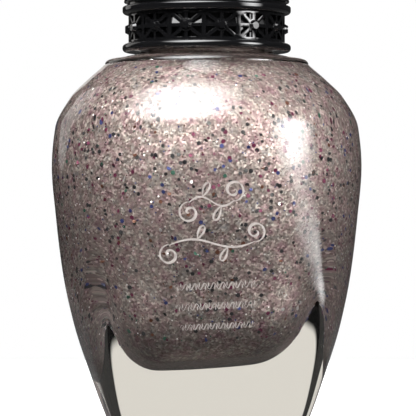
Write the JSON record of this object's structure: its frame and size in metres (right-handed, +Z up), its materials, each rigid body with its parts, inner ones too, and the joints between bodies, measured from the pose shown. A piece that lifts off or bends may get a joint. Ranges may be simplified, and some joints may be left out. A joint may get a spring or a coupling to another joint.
{
  "type": "nail polish bottle",
  "caption": "Square-shouldered thick glass bottle of shimmering nail lacquer with a tall ringed screw cap that carries the brush.",
  "frame": {"origin": "centre of the bottle's base, on the surface it stands on", "axes": "+Z up along the neck's axis, -Y towards the printed front"},
  "size_m": [0.0334, 0.0334, 0.0792],
  "materials": {
    "clear_glass": "polished",
    "shimmer_lacquer": "metallic shimmer with glitter",
    "ball_steel": "polished",
    "label_paper": "satin",
    "cap_black": "high gloss",
    "inner_plastic": "satin",
    "liner_plastic": "satin",
    "stem_plastic": "satin",
    "bristle_nylon": "fibres",
    "staple_metal": "bright"
  },
  "bodies": {
    "bottle": {"glass_bottle": "clear_glass", "lacquer": "shimmer_lacquer", "mixing_balls": "ball_steel", "base_label": "label_paper"},
    "liner": {"cap_liner": "liner_plastic"},
    "brush": {"brush_stem": "stem_plastic", "bristle_tuft": "bristle_nylon", "bristle_staple": "staple_metal"},
    "cap": {"inner_cap": "inner_plastic", "cap_core": "cap_black", "lower_star_collar": "cap_black", "shaft_sleeve": "cap_black", "upper_star_collar": "cap_black", "crown": "cap_black"}
  },
  "joints": [
    {"name": "brush_withdraw", "type": "slide", "parent": "bottle", "child": "liner", "axis": [0, 0, 1], "range_m": [0, 0.05]},
    {"name": "thread_rise", "type": "slide", "parent": "liner", "child": "brush", "axis": [0, 0, 1], "range_m": [0, 0.0032]},
    {"name": "cap_turn", "type": "hinge", "parent": "brush", "child": "cap", "pos_m": [0, 0, 0], "axis": [0, 0, 1], "range_deg": [0, 540]}
  ],
  "couplings": [
    {"joint": "thread_rise", "follows": "cap_turn", "m_per_rad": 0.00033693}
  ]
}
